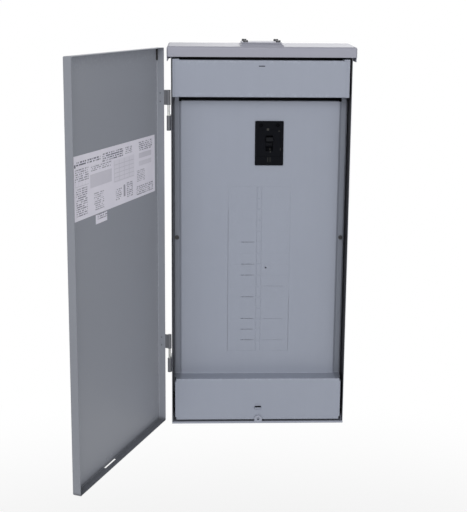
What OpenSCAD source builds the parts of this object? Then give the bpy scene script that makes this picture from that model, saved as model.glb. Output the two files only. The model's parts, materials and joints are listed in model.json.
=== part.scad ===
// Outdoor load-centre enclosure with a main breaker, its door standing open.
// Origin: centre of the wall-hole pattern on the outside of the back, X right,
// front towards -Y, Z up. All sizes are in millimetres.

/* [Enclosure] */
// Outside width of the body
body_w = 388; // [370:2:440]
// Height from the bottom plate to the front edge of the rain hood
body_h = 848; // [800:4:1000]
// Depth from the wall to the front plane
body_d = 120; // [112:1:160]
// Thickness of the body sheet
wall_t = 1.6; // [1.2:0.1:2]
// Thickness of the cover and rail sheet
cover_t = 1.2; // [1:0.1:1.6]
// Width of the hem along the front edge of each side wall
hem_w = 2.6; // [2:0.1:4]
// Height of the lip along the front of the bottom plate
lip_h = 4.6; // [4:0.2:8]

/* [Rain hood] */
// How far the hood stands out past each side wall
hood_over = 9; // [8:0.5:9.5]
// Height of the hood's front skirt
hood_skirt = 22; // [18:1:30]
// How much lower the side skirts reach than the front one
hood_side_drop = 10; // [4:1:16]
// Rise of the roof from front to back
hood_rise = 3.5; // [2:0.5:8]
// Radius of the hood's folded corners
hood_r = 5; // [4:0.5:8]
// Width and depth of the raised seat for the hub
hub_seat_w = 94; // [92:1:100]
// Height of that seat above the hood's front edge
hub_seat_h = 5; // [5:0.2:10]
// Radius of the hub opening
hub_r = 32; // [25:1:34]
// Spacing of the four hub screws
hub_pitch = 70; // [68:1:74]
// Distance of the hub centre from the wall
hub_y = 62; // [56:1:66]

/* [Dead front] */
// Depth of the breaker cover behind the raised covers
recess_depth = 36; // [30:1:42]
// Depth of the raised covers behind the front plane
cover_set = 3; // [2.5:0.5:6]
// Height of the lower raised cover
lower_h = 97; // [80:1:120]
// Gap from the bottom plate to the lower cover
lower_gap = 8.4; // [7:0.2:12]
// Height of the upper gutter cover
gutter_h = 79; // [60:1:100]
// Distance of the gutter cover's ends from the outside of the body
gutter_in = 11; // [10:0.5:14]
// Sideways shift of the gutter cover, towards the hinges when negative
gutter_shift = -2.5; // [-4:0.5:0]
// Gap above the gutter cover
gutter_gap_top = 6.6; // [4:0.2:10]
// Gap between the gutter cover and the breaker cover
gutter_gap_low = 10.5; // [8:0.5:14]
// Running gap from the side wall to the breaker cover
cover_gap = 5; // [4:0.5:6]
// Width of the screw flange on each side of the breaker cover
flange_w = 9.5; // [8:0.5:12]

/* [Breaker spaces] */
// Pitch of the breaker poles
pole_pitch = 25.4; // [24:0.1:26]
// Number of rows of breaker spaces
rows = 15; // [8:1:15]
// Width of one twistout
twist_w = 63; // [56:1:66]
// Width of the centre rib between the twistouts
rib_w = 12; // [10:1:16]
// Height of the centre of the twistouts, from the middle of the body
twist_z = -74.3; // [-90:1:-70]
// Slit around each twistout
slit = 0.25; // [0.2:0.05:0.5]

/* [Main breaker] */
// Width of the breaker window
window_w = 62.7; // [60:0.1:66]
// Height of the breaker window
window_h = 98.6; // [90:0.2:104]
// Sideways place of the breaker
breaker_x = 20; // [10:1:24]
// Height of the breaker centre, from the middle of the body
breaker_z = 212.5; // [205:0.5:216]
// Width of the breaker case
case_w = 80; // [76:1:90]
// Height of the breaker case
case_h = 150; // [140:1:156]
// Swing of the breaker handle
handle_swing = 50; // [40:1:56]

/* [Door] */
// How far the door stands out past each side wall
door_over = 2.5; // [1.5:0.5:3.5]
// Depth of the door's folded edges
door_d = 17.5; // [16:0.5:20]
// Gap from the front plane to the edges of the closed door
door_gap = 1; // [1:0.1:2]
// Height of the door's lower edge above the bottom plate
door_low = 5; // [3:0.5:8]
// Height that the hood's front edge shows above the closed door
door_top_gap = 3; // [2:0.5:8]
// Thickness of the door sheet
door_t = 1.2; // [1:0.1:1.6]
// Angle from closed at which the door stands
door_open = 112.7; // [90:0.1:160]

/* [Hinges] */
// Distance of the hinge axis out from the side wall
hinge_out = 5.3; // [5.3:0.1:6]
// Distance of the hinge axis behind the front plane
hinge_back = 8.1; // [8:0.1:9]
// Radius of the hinge pin
pin_r = 2.5; // [2:0.1:2.5]
// Running clearance of the pin in the door knuckle
pin_clear = 0.06; // [0.03:0.01:0.09]
// Outer radius of the knuckles
knuckle_r = 4.3; // [4.2:0.1:4.6]
// Length of each knuckle
knuckle_h = 32; // [26:1:36]
// Length of bare pin between the knuckles
pin_bare = 23.4; // [10:0.2:30]
// Height of the upper hinge, from the middle of the body
hinge_up_z = 287.5; // [260:1:300]
// Height of the lower hinge, from the middle of the body
hinge_low_z = -259; // [-280:1:-240]

/* [Wall fixing] */
// Spacing of the wall holes across
wall_hole_x = 300; // [280:5:320]
// Spacing of the wall holes up and down
wall_hole_z = 760; // [700:5:770]
// Radius of the wall holes
wall_hole_r = 3.6; // [3:0.1:4.5]

/* [Hidden] */
$fn = 48;
hw = body_w/2;
front_y = -body_d;
base_z = -body_h/2;
top_z = body_h/2;
floor_z = base_z + wall_t;
inner_x = hw - wall_t;
skirt_z = top_z - hood_skirt;
hood_x = hw + hood_over;
back_in = -wall_t;
gutter_w = body_w - 2*gutter_in;
door_w = body_w + 2*door_over;
wrap_top = top_z - hood_r - 0.5;

// depth behind the front plane, as a Y value
function depth(d) = front_y + d;

// dead front levels
cover_y = depth(cover_set);
recess_y = cover_y + recess_depth;
flange_y = recess_y + 3;
shelf_y = flange_y + cover_t;
cover_x = inner_x - cover_gap;
lower_z0 = base_z + lower_gap;
ledge_z = lower_z0 + lower_h;
gutter_z1 = skirt_z - gutter_gap_top;
gutter_z0 = gutter_z1 - gutter_h;
recess_z1 = gutter_z0 - gutter_gap_low;
shoulder_x = cover_x - flange_w;
face_x = shoulder_x - 6;
rail_z0 = ledge_z - 50;
twist_h = rows*pole_pitch;
twist_in = rib_w/2;
cover_screw_x = cover_x - flange_w/2;

// interior levels, measured forward from the inside of the back
pan_y = back_in - 12;
pan_w = 190;
pan_z0 = twist_z - twist_h/2 - 62;
pan_z1 = breaker_z + case_h/2 + 10;
pan_t = 1.6;
base_y = pan_y - 14;
bar_t = 3;
bus_y = base_y - bar_t;
bus_w = 22;
bus_x = 20;
neutral_x = 112;
neutral_y = pan_y - 18;

// main breaker levels
case_back = base_y;
case_front = recess_y + cover_t + 1.5;
case_split = (case_back + case_front)/2;
nose_gap = 0.6;
nose_y = recess_y - 3;
handle_pin_y = recess_y + 12;
handle_pin_r = 2;
handle_r = 11;
handle_w = 15;

// hinge
axis_x = -hw - hinge_out;
axis_y = depth(hinge_back);
leaf_t = 2;
door_x = door_w/2;
door_face_y = front_y - door_gap - door_d;
door_z0 = base_z + door_low;
door_z1 = top_z - door_top_gap;
hinge_zs = [hinge_up_z, hinge_low_z];
cap_t = 2;
tip_gap = 0.3;

hole_tap_r = 1.6;
screw_shank_r = 2;
cover_hole_r = 2.3;

enclosure_grey = [0.60, 0.61, 0.64];
cover_grey = [0.58, 0.60, 0.66];
hood_grey = [0.62, 0.62, 0.67];
door_grey = [0.52, 0.54, 0.58];
zinc = [0.72, 0.73, 0.74];
tin = [0.78, 0.78, 0.76];
alu = [0.80, 0.81, 0.83];
black_plastic = [0.07, 0.08, 0.10];
grey_plastic = [0.25, 0.26, 0.28];
paper = [0.82, 0.80, 0.86];

// ---------------------------------------------------------------- helpers

// box from its low corner to its high corner
module span(a, b) {
    translate(a) cube([b[0] - a[0], b[1] - a[1], b[2] - a[2]]);
}

// cylinder that runs from y0 towards the wall to y1
module rod_y(x, z, y0, y1, r) {
    translate([x, y1, z]) rotate([90, 0, 0]) cylinder(h = y1 - y0, r = r);
}

// pan-head screw driven from the front, its head resting at y_seat
module screw_y(x, z, y_seat, y_end, head_r = 4, head_h = 2.2, slot_turn = 20) {
    difference() {
        rod_y(x, z, y_seat - head_h, y_seat, head_r);
        translate([x, y_seat - head_h, z]) rotate([0, slot_turn, 0])
            cube([head_r*3, 1.6, 1], center = true);
    }
    rod_y(x, z, y_seat, y_end, screw_shank_r);
}

// the four places of a rectangular pattern
module at_corners(px, pz) {
    for (sx = [-1, 1], sz = [-1, 1]) translate([sx*px/2, 0, sz*pz/2]) children();
}

// ---------------------------------------------------------------- enclosure

module body_wrap() {
    color(enclosure_grey) difference() {
        union() {
            span([-hw, -wall_t, base_z], [hw, 0, wrap_top]);
            for (s = [-1, 1]) {
                x0 = s > 0 ? inner_x : -hw;
                span([x0, depth(wall_t), base_z], [x0 + wall_t, 0, wrap_top]);
                h0 = s > 0 ? hw - hem_w : -hw;
                span([h0, depth(wall_t), base_z + lip_h + 2],
                    [h0 + hem_w, depth(2*wall_t), wrap_top]);
            }
        }
        at_corners(wall_hole_x, wall_hole_z) rod_y(0, 0, -10, 5, wall_hole_r);
        // holes for the screws that hold the interior pan
        for (sx = [-1, 1], z = [pan_z0 + 12, pan_z1 - 12])
            rod_y(sx*(pan_w/2 + 8), z, -10, 5, hole_tap_r);
    }
}

knock_specs = [[-120, 22, 14], [-52, 30, 20], [20, 38, 31], [98, 30, 20], [152, 22, 14]];
knock_y = depth(66);

module bottom_plate() {
    tab_x = 1;
    tab_w = 17;
    tab_h = 18.8;
    tab_hole = 3;
    color(enclosure_grey) difference() {
        union() {
            span([-inner_x, depth(wall_t), base_z], [inner_x, back_in, floor_z]);
            span([-hw, front_y, base_z], [hw, depth(wall_t), base_z + lip_h]);
            for (s = [-1, 1]) {
                x0 = s > 0 ? inner_x - wall_t : -inner_x;
                span([x0, depth(12), floor_z], [x0 + wall_t, back_in, floor_z + 14]);
            }
            span([-inner_x, back_in - wall_t, floor_z], [inner_x, back_in, floor_z + 14]);
            // sealing tab standing up from the lip
            span([tab_x - tab_w/2, front_y, base_z + lip_h],
                [tab_x + tab_w/2, depth(wall_t), base_z + tab_h - tab_w/2]);
            rod_y(tab_x, base_z + tab_h - tab_w/2, front_y, depth(wall_t), tab_w/2);
        }
        rod_y(tab_x, base_z + tab_h - tab_w/2, front_y - 5, depth(5), tab_hole);
        for (k = knock_specs) translate([k[0], knock_y, base_z - 1])
            cylinder(h = wall_t + 2, r = k[2]);
    }
}

// half-sheared discs, held by their uncut bridges
module knockout_discs() {
    color(enclosure_grey) for (k = knock_specs) translate([k[0], knock_y, base_z]) {
        difference() {
            cylinder(h = wall_t, r = k[2] - slit);
            translate([0, 0, -1]) cylinder(h = wall_t + 2, r = k[2]*0.62 + slit);
        }
        cylinder(h = wall_t, r = k[2]*0.62);
    }
}

// roof height of the hood at a Y value
function roof_z(y) = top_z + hood_rise*(y - front_y)/body_d;

module hood_block(inset, low) {
    hull() for (s = [-1, 1], y = [front_y + hood_r, -hood_r]) {
        translate([s*(hood_x - hood_r), y, roof_z(y) - hood_r])
            sphere(r = hood_r - inset, $fn = 32);
        translate([s*(hood_x - hood_r), y, low])
            cylinder(h = 1, r = hood_r - inset, $fn = 32);
    }
}

module rain_hood() {
    low = skirt_z - hood_side_drop;
    color(hood_grey) difference() {
        union() {
            difference() {
                hood_block(0, low);
                hood_block(wall_t, low - 5);
                // the front skirt ends higher than the side skirts
                span([-hood_x - 5, front_y - 5, low - 5], [hood_x + 5, depth(10), skirt_z]);
                // the back stands flat on the wall, behind the body
                span([-hw - 0.2, -3*wall_t, low - 5], [hw + 0.2, 5, wrap_top]);
            }
            hub_seat(0);
            // flanges fixed inside the side walls
            for (s = [-1, 1]) {
                x0 = s > 0 ? inner_x - wall_t : -inner_x;
                span([x0, depth(14), skirt_z - 3], [x0 + wall_t, -20, top_z - 1]);
            }
        }
        hub_seat(wall_t);
        translate([0, -hub_y, top_z - 12]) cylinder(h = 30, r = hub_r);
        at_hub_screws(top_z - 12) cylinder(h = 30, r = screw_shank_r);
    }
}

hub_seat_z = top_z + hub_seat_h;
hub_plate_w = hub_seat_w - 9;
gasket_t = 0.6;
plate_z = hub_seat_z + gasket_t;
plate_t = 3;
hub_head_r = 5.2;
hub_head_h = 4.4;

// the four hub screws stand around the opening
module at_hub_screws(z) {
    for (sx = [-1, 1], sy = [-1, 1])
        translate([sx*hub_pitch/2, -hub_y + sy*hub_pitch/2, z]) children();
}

// level seat with sloping sides, drawn up from the roof around the hub opening
module hub_seat(inset) {
    w = hub_seat_w/2 - inset;
    rise = hub_seat_h + wall_t;
    lean = 3.6;
    module slab() {
        translate([0, w, 0]) rotate([90, 0, 0]) linear_extrude(2*w)
            polygon([[-w, -rise], [w, -rise], [w, -lean], [w - lean, -inset], [-w + lean, -inset],
                [-w, -lean]]);
    }
    translate([0, -hub_y, hub_seat_z]) intersection() {
        slab();
        rotate([0, 0, 90]) slab();
    }
}

module hub_gasket() {
    w = hub_plate_w - 2;
    color(black_plastic) difference() {
        translate([-w/2, -hub_y - w/2, hub_seat_z]) cube([w, w, gasket_t]);
        translate([0, -hub_y, hub_seat_z - 1]) cylinder(h = 5, r = hub_r);
        at_hub_screws(hub_seat_z - 1) cylinder(h = 5, r = screw_shank_r + 0.2);
    }
}

module hub_plate() {
    color(hood_grey) difference() {
        translate([-hub_plate_w/2, -hub_y - hub_plate_w/2, plate_z])
            cube([hub_plate_w, hub_plate_w, plate_t]);
        at_hub_screws(plate_z - 1) cylinder(h = plate_t + 2, r = cover_hole_r);
    }
}

module hub_screws() {
    slot_t = 1.2;
    slot_deep = 1;
    color(grey_plastic) at_hub_screws(plate_z + plate_t) {
        difference() {
            cylinder(h = hub_head_h, r = hub_head_r);
            translate([0, 0, hub_head_h]) cube([3*hub_head_r, slot_t, 2*slot_deep], center = true);
        }
        translate([0, 0, -10]) cylinder(h = 10, r = screw_shank_r - 0.02);
    }
}

// ---------------------------------------------------------------- dead front

// rail on one side wall: a shelf for the breaker cover, a step back to the wall
// flange, and a strip for the gutter cover
rail_back = shelf_y + 16;
rail_flange = 16;
rail_screw_y = rail_back + rail_flange/2;

module rail(s, strip_out) {
    rail_top = gutter_z1 + 2;
    strip_in = gutter_w/2 + gutter_shift - 4.5;
    strip_y = cover_y + cover_t;
    step_x = cover_x - 0.5;
    color(cover_grey) difference() {
        scale([s, 1, 1]) union() {
            span([shoulder_x, shelf_y, rail_z0], [step_x, shelf_y + cover_t, rail_top]);
            span([step_x - cover_t, shelf_y, rail_z0], [step_x, rail_back, rail_top]);
            span([step_x - cover_t, rail_back - cover_t, rail_z0], [inner_x, rail_back, rail_top]);
            span([inner_x - cover_t, rail_back - cover_t, rail_z0],
                [inner_x, rail_back + rail_flange, rail_top]);
            span([strip_in, strip_y, gutter_z0], [strip_out, strip_y + cover_t, rail_top]);
            span([strip_out - cover_t, strip_y, gutter_z0], [strip_out, rail_back, rail_top]);
        }
        rod_y(s*cover_screw_x, 0, shelf_y - 5, shelf_y + 5, screw_shank_r);
        for (z = [rail_z0 + 20, recess_z1 - 30]) translate([s*(inner_x - 5), rail_screw_y, z])
            rotate([0, 90, 0]) cylinder(h = 12, r = cover_hole_r, center = true);
    }
}

module left_rail() {
    rail(-1, inner_x - 1.4);
}

module right_rail() {
    rail(1, inner_x - 3.9);
}

// screws that hold the rails to the side walls
module rail_screws() {
    color(zinc) for (s = [-1, 1], z = [rail_z0 + 20, recess_z1 - 30])
        translate([s*(inner_x - cover_t), rail_screw_y, z]) rotate([0, -s*90, 0]) {
            cylinder(h = 2, r = 4);
            translate([0, 0, -cover_t]) cylinder(h = cover_t, r = screw_shank_r);
        }
}

module gutter_cover() {
    x0 = -gutter_w/2 + gutter_shift;
    x1 = gutter_w/2 + gutter_shift;
    in_x = gutter_w/2 + gutter_shift - 5;
    back = cover_y + 12;
    slot_z = gutter_z1 - 13.4;
    color(cover_grey) difference() {
        union() {
            span([x0, cover_y, gutter_z0], [x1, cover_y + cover_t, gutter_z1]);
            span([-in_x, cover_y, gutter_z0], [in_x, back, gutter_z0 + cover_t]);
            span([-in_x, cover_y, gutter_z1 - cover_t], [in_x, back, gutter_z1]);
            // hooks that catch behind the rail strips
            for (s = [-1, 1]) {
                h0 = s > 0 ? in_x - 1 : -in_x - 6;
                span([h0, cover_y + 2*cover_t + 0.2, gutter_z0],
                    [h0 + 7, back, gutter_z0 + cover_t]);
                span([h0, cover_y + 2*cover_t + 0.2, gutter_z1 - cover_t],
                    [h0 + 7, back, gutter_z1]);
            }
        }
        span([-7, cover_y - 2, slot_z], [7, cover_y + 2, slot_z + 2]);
    }
}

// stepped cover: recessed face with its screw flanges, ledge and lower cover
module breaker_cover() {
    t = cover_t;
    notch = 6;
    louvre_z = lower_z0 + 30;
    win_x = twist_in + twist_w + slit;
    color(cover_grey) difference() {
        union() {
            translate([0, 0, ledge_z]) linear_extrude(recess_z1 - ledge_z)
                polygon([[-cover_x, flange_y], [-shoulder_x, flange_y],
                    [-face_x, recess_y], [face_x, recess_y],
                    [shoulder_x, flange_y], [cover_x, flange_y],
                    [cover_x, flange_y + t], [shoulder_x, flange_y + t],
                    [face_x, recess_y + t], [-face_x, recess_y + t],
                    [-shoulder_x, flange_y + t], [-cover_x, flange_y + t]]);
            span([-cover_x, cover_y, ledge_z - t], [cover_x, flange_y + t, ledge_z]);
            span([-cover_x, cover_y, lower_z0], [cover_x, cover_y + t, ledge_z]);
            for (s = [-1, 1]) {
                x0 = s > 0 ? cover_x - t : -cover_x;
                span([x0, cover_y, lower_z0 + notch], [x0 + t, cover_y + 12, ledge_z - notch]);
            }
            span([-face_x, recess_y, recess_z1 - t], [face_x, recess_y + 10, recess_z1]);
            // raised rib between the twistouts
            span([-rib_w/2 + 1.5, recess_y - 0.8, twist_z - twist_h/2],
                [rib_w/2 - 1.5, recess_y + 0.1, twist_z + twist_h/2]);
            // finger louvre on the lower cover
            translate([0, cover_y, louvre_z]) rotate([0, 90, 0]) difference() {
                cylinder(h = 16, r = 6, center = true);
                cylinder(h = 20, r = 5, center = true);
                translate([-10, 0, 0]) cube([20, 30, 30], center = true);
                translate([0, 10, 0]) cube([30, 20, 30], center = true);
            }
        }
        span([-8, cover_y - 0.5, louvre_z - 0.4], [8, cover_y + t + 1, louvre_z + 2.4]);
        span([breaker_x - window_w/2, recess_y - 5, breaker_z - window_h/2],
            [breaker_x + window_w/2, recess_y + 5, breaker_z + window_h/2]);
        for (s = [-1, 1]) {
            x0 = s > 0 ? twist_in - slit : -win_x;
            span([x0, recess_y - 5, twist_z - twist_h/2 - slit],
                [x0 + twist_w + 2*slit, recess_y + 5, twist_z + twist_h/2 + slit]);
            rod_y(s*cover_screw_x, 0, flange_y - 5, flange_y + 5, cover_hole_r);
            // corner notches of the lower cover
            for (z = [lower_z0, ledge_z]) translate([s*cover_x, cover_y, z])
                cube([2*3, 30, 2*notch], center = true);
        }
    }
}

module twistout(side, row) {
    x0 = side > 0 ? twist_in : -twist_in - twist_w;
    z0 = twist_z - twist_h/2 + row*pole_pitch;
    t = cover_t;
    color(cover_grey) difference() {
        span([x0, recess_y, z0 + slit/2], [x0 + twist_w, recess_y + t, z0 + pole_pitch - slit/2]);
        // scored bend lines at both ends
        for (x = [x0 + 4, x0 + twist_w - 4])
            span([x - 0.25, recess_y - 1, z0 + 3], [x + 0.25, recess_y + 0.3, z0 + pole_pitch - 3]);
        // pry hole in the middle space of the right column
        if (side > 0 && row == floor(rows/2))
            rod_y(x0 + 10, z0 + pole_pitch*0.7, recess_y - 5, recess_y + 5, 1.8);
    }
}

module twistouts_left() {
    for (row = [0:rows - 1]) twistout(-1, row);
}

module twistouts_right() {
    for (row = [0:rows - 1]) twistout(1, row);
}

module cover_screws() {
    color(grey_plastic) for (s = [-1, 1])
        screw_y(s*cover_screw_x, 0, flange_y, shelf_y + 8, 4.7, 3.2, s*30);
}

// ---------------------------------------------------------------- hinges

// the closed position of the door is turned to where it stands
module at_door_open() {
    translate([axis_x, axis_y, 0]) rotate([0, 0, -door_open])
        translate([-axis_x, -axis_y, 0]) children();
}

module body_hinge(z) {
    low = z - pin_bare/2 - knuckle_h;
    color(enclosure_grey) difference() {
        union() {
            translate([axis_x, axis_y, low]) cylinder(h = knuckle_h, r = knuckle_r);
            span([-hw - leaf_t, axis_y, low], [-hw, axis_y + 34, low + knuckle_h]);
            span([axis_x, axis_y, low], [-hw - leaf_t/2, axis_y + knuckle_r, low + knuckle_h]);
        }
        translate([axis_x, axis_y, low - 1]) cylinder(h = knuckle_h + 2, r = pin_r);
        for (e = [-1, 1]) translate([-hw, axis_y + 20, low + knuckle_h/2 + e*9])
            rotate([0, 90, 0]) cylinder(h = 12, r = 2.1, center = true);
    }
}

module body_hinge_upper() {
    body_hinge(hinge_up_z);
}

module body_hinge_lower() {
    body_hinge(hinge_low_z);
}

module hinge_pins() {
    color(zinc) for (z = hinge_zs)
        translate([axis_x, axis_y, z - pin_bare/2 - knuckle_h])
            cylinder(h = 2*knuckle_h + pin_bare - cap_t - tip_gap, r = pin_r);
}

module body_hinge_rivets() {
    color(zinc) for (z = hinge_zs, e = [-1, 1])
        translate([-hw - leaf_t, axis_y + 20, z - pin_bare/2 - knuckle_h/2 + e*9])
            rotate([0, 90, 0]) {
                translate([0, 0, -1.4]) cylinder(h = 1.4, r1 = 2.8, r2 = 3.6);
                cylinder(h = leaf_t, r = 2.1);
            }
}

module door_hinge(z) {
    low = z + pin_bare/2;
    leaf_x = -door_x;
    at_door_open() color(door_grey) difference() {
        union() {
            translate([axis_x, axis_y, low]) cylinder(h = knuckle_h, r = knuckle_r);
            span([leaf_x - leaf_t, door_face_y + 2, low], [leaf_x, axis_y, low + knuckle_h]);
        }
        translate([axis_x, axis_y, low - 1])
            cylinder(h = knuckle_h + 1 - cap_t, r = pin_r + pin_clear);
        for (e = [-1, 1])
            translate([leaf_x, door_face_y + door_d/2, low + knuckle_h/2 + e*9])
                rotate([0, 90, 0]) cylinder(h = 12, r = 2.1, center = true);
    }
}

module door_hinge_upper() {
    door_hinge(hinge_up_z);
}

module door_hinge_lower() {
    door_hinge(hinge_low_z);
}

module door_hinge_rivets() {
    at_door_open() color(zinc) for (z = hinge_zs, e = [-1, 1])
        translate([-door_x - leaf_t, door_face_y + door_d/2,
            z + pin_bare/2 + knuckle_h/2 + e*9]) rotate([0, 90, 0]) {
                translate([0, 0, -1.4]) cylinder(h = 1.4, r1 = 2.8, r2 = 3.6);
                cylinder(h = leaf_t + door_t, r = 2.1);
            }
}

// ---------------------------------------------------------------- door

latch_x = 48.7;
latch_w = 47;
boss_z = door_z0 + 13;
boss_pitch = 20.6;
boss_r = 2.8;
boss_h = 0.8;

module door_panel() {
    latch_in = 1.6;
    latch_d = 4.4;
    edge_y = front_y - door_gap;
    at_door_open() color(door_grey) difference() {
        union() {
            difference() {
                span([-door_x, door_face_y, door_z0], [door_x, edge_y, door_z1]);
                span([-door_x + door_t, door_face_y + door_t, door_z0 + door_t],
                    [door_x - door_t, edge_y + 5, door_z1 - door_t]);
            }
            // two pressed bosses above the latch slot
            for (e = [-1, 1]) rod_y(latch_x - 3 + e*boss_pitch/2, boss_z, door_face_y + door_t/2,
                door_face_y + door_t + boss_h, boss_r);
        }
        // latch slot through the lower edge, close to the fold
        span([latch_x - latch_w/2, door_face_y + latch_in, door_z0 - 5],
            [latch_x + latch_w/2, door_face_y + latch_in + latch_d, door_z0 + 5]);
        for (z = hinge_zs, e = [-1, 1])
            translate([-door_x, door_face_y + door_d/2,
                z + pin_bare/2 + knuckle_h/2 + e*9])
                rotate([0, 90, 0]) cylinder(h = 12, r = 2.1, center = true);
    }
}

// foam bumper in the top corner of the hinge side
module door_bumper() {
    bumper_w = 3.2;
    bumper_h = 25;
    bumper_t = 3;
    x0 = -door_x + door_t + 0.4;
    at_door_open() color(black_plastic)
        span([x0, door_face_y + door_t, door_z1 - door_t - 0.4 - bumper_h],
            [x0 + bumper_w, door_face_y + door_t + bumper_t, door_z1 - door_t - 0.4]);
}

// paper label on the inside of the door
label_x0 = -door_x + 15.5;
label_w = door_w - 44;
label_z0 = 113;
label_h = 123;
label_t = 0.3;

module door_label() {
    at_door_open() color(paper) translate([label_x0, door_face_y + door_t, label_z0])
        cube([label_w, label_t, label_h]);
}

module door_sticker() {
    at_door_open() color("white")
        translate([label_x0 + 221.7, door_face_y + door_t, label_z0 - 20])
            cube([46.3, label_t, 18]);
}

// ---------------------------------------------------------------- interior

module interior_pan() {
    foot = 16;
    color(zinc) difference() {
        union() {
            span([-pan_w/2, pan_y - pan_t, pan_z0], [pan_w/2, pan_y, pan_z1]);
            for (s = [-1, 1]) {
                x0 = s > 0 ? pan_w/2 - pan_t : -pan_w/2;
                span([x0, pan_y - pan_t, pan_z0], [x0 + pan_t, back_in, pan_z1]);
                f0 = s > 0 ? pan_w/2 - pan_t : -pan_w/2 - foot;
                span([f0, back_in - pan_t, pan_z0], [f0 + foot + pan_t, back_in, pan_z1]);
            }
        }
        for (sx = [-1, 1], z = [pan_z0 + 12, pan_z1 - 12])
            rod_y(sx*(pan_w/2 + 8), z, back_in - 5, back_in + 1, cover_hole_r);
        for (z = [-1, 0, 1]) rod_y(0, twist_z + z*twist_h*0.4, pan_y - 5, pan_y + 5, 1.7);
    }
}

module interior_screws() {
    color(zinc) for (sx = [-1, 1], z = [pan_z0 + 12, pan_z1 - 12]) {
        rod_y(sx*(pan_w/2 + 8), z, back_in - pan_t - 3, back_in - pan_t, 4.5);
        rod_y(sx*(pan_w/2 + 8), z, back_in - pan_t, -0.2, hole_tap_r);
    }
}

// moulded base that carries the bus bars, with a barrier for each row
module bus_base() {
    w = 92;
    z0 = twist_z - twist_h/2 - 8;
    z1 = breaker_z - case_h/2 - 4;
    color(black_plastic) difference() {
        union() {
            span([-w/2, base_y, z0], [w/2, pan_y - pan_t, z1]);
            for (i = [0:rows]) translate([0, 0, twist_z - twist_h/2 + i*pole_pitch - 1])
                span([-w/2, base_y - 12, 0], [w/2, base_y, 2]);
        }
        // pockets for the bars
        for (s = [-1, 1]) {
            x0 = s > 0 ? bus_x - bus_w/2 - 0.3 : -bus_x - bus_w/2 - 0.3;
            span([x0, base_y - 13, z0 - 1], [x0 + bus_w + 0.6, base_y, z1 + 1]);
        }
        for (z = [-1, 0, 1]) rod_y(0, twist_z + z*twist_h*0.4, base_y - 15, pan_y, 1.7);
    }
}

// bar with stabs for alternate rows, and a tongue up to the main breaker
module bus_bar(s, odd) {
    z0 = twist_z - twist_h/2 - 4;
    z1 = breaker_z - case_h/2 - 1;
    color(tin) difference() {
        union() {
            span([s*bus_x - bus_w/2, bus_y, z0], [s*bus_x + bus_w/2, base_y, z1]);
            for (i = [0:rows - 1]) if (i % 2 == odd)
                translate([s*bus_x - bus_w/2 + 4, bus_y - 16,
                    twist_z - twist_h/2 + (i + 0.5)*pole_pitch - 1.5])
                    cube([bus_w - 8, 16, 3]);
        }
        for (z = [z0 + 8, z1 - 12]) rod_y(s*bus_x, z, bus_y - 5, base_y + 2, 2.4);
    }
}

module bus_bar_a() {
    bus_bar(-1, 0);
}

module bus_bar_b() {
    bus_bar(1, 1);
}

module bus_screws() {
    z0 = twist_z - twist_h/2 - 4;
    z1 = breaker_z - case_h/2 - 1;
    color(zinc) {
        for (s = [-1, 1], z = [z0 + 8, z1 - 12]) {
            rod_y(s*bus_x, z, bus_y - 3, bus_y, 4.6);
            rod_y(s*bus_x, z, bus_y, base_y - 0.2, 2.3);
        }
        for (z = [-1, 0, 1]) {
            zc = twist_z + z*twist_h*0.4;
            rod_y(0, zc, base_y - 2.4, base_y, 3.6);
            rod_y(0, zc, base_y, pan_y - 0.2, 1.7);
        }
    }
}

// terminal bar: a square bar with a row of wire holes and clamp screws
bar_w = 10;
bar_holes = 22;
bar_pitch = 11;

module terminal_bar(x, zc, count) {
    len = count*bar_pitch + 6;
    color(alu) difference() {
        span([x - bar_w/2, neutral_y - 12, zc - len/2], [x + bar_w/2, neutral_y, zc + len/2]);
        for (i = [0:count - 1]) translate([x, neutral_y - 4.5, zc + (i - (count - 1)/2)*bar_pitch]) {
            rotate([0, 90, 0]) cylinder(h = bar_w + 4, r = 2.6, center = true, $fn = 24);
            translate([0, -3, 0]) rotate([90, 0, 0]) cylinder(h = 12, r = 2, $fn = 24);
        }
    }
}

module bar_screws(x, zc, count) {
    color(zinc) for (i = [0:count - 1])
        translate([x, neutral_y - 10, zc + (i - (count - 1)/2)*bar_pitch])
            rotate([90, 0, 0]) {
                difference() {
                    cylinder(h = 5, r = 2.9, $fn = 16);
                    translate([0, 0, 5]) cube([8, 0.9, 2.4], center = true);
                }
            }
}

neutral_z = twist_z - twist_h/2 - 8 + (bar_holes*bar_pitch + 6)/2;

module neutral_bar_left() {
    terminal_bar(-neutral_x, neutral_z, bar_holes);
}

module neutral_bar_right() {
    terminal_bar(neutral_x, neutral_z, bar_holes);
}

module neutral_bar_screws() {
    // heads stand on the front of the bars
    for (s = [-1, 1]) translate([0, -2, 0]) bar_screws(s*neutral_x, neutral_z, bar_holes);
}

// moulded feet that carry the neutral bars on the pan
module neutral_feet() {
    color(grey_plastic) for (s = [-1, 1], e = [-1, 1])
        translate([0, 0, neutral_z + e*bar_pitch*bar_holes*0.46]) {
            x0 = s > 0 ? pan_w/2 - 14 : -neutral_x - bar_w/2 - 1;
            w = neutral_x + bar_w/2 + 1 - pan_w/2 + 14;
            span([x0, neutral_y, -6], [x0 + w, pan_y - pan_t, 6]);
        }
}

// strap that joins the two neutral bars across the foot of the pan
strap_z = neutral_z - (bar_holes*bar_pitch + 6)/2;

module neutral_strap() {
    t = 2.4;
    color(tin) {
        span([-neutral_x - bar_w/2, neutral_y - 10, strap_z - 16],
            [neutral_x + bar_w/2, neutral_y - 10 + t, strap_z - 4]);
        for (s = [-1, 1]) translate([s*neutral_x, 0, 0])
            span([-bar_w/2, neutral_y - 10, strap_z - 16],
                [bar_w/2, neutral_y - 10 + t, strap_z]);
    }
}

lug_r = 9.2;

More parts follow.
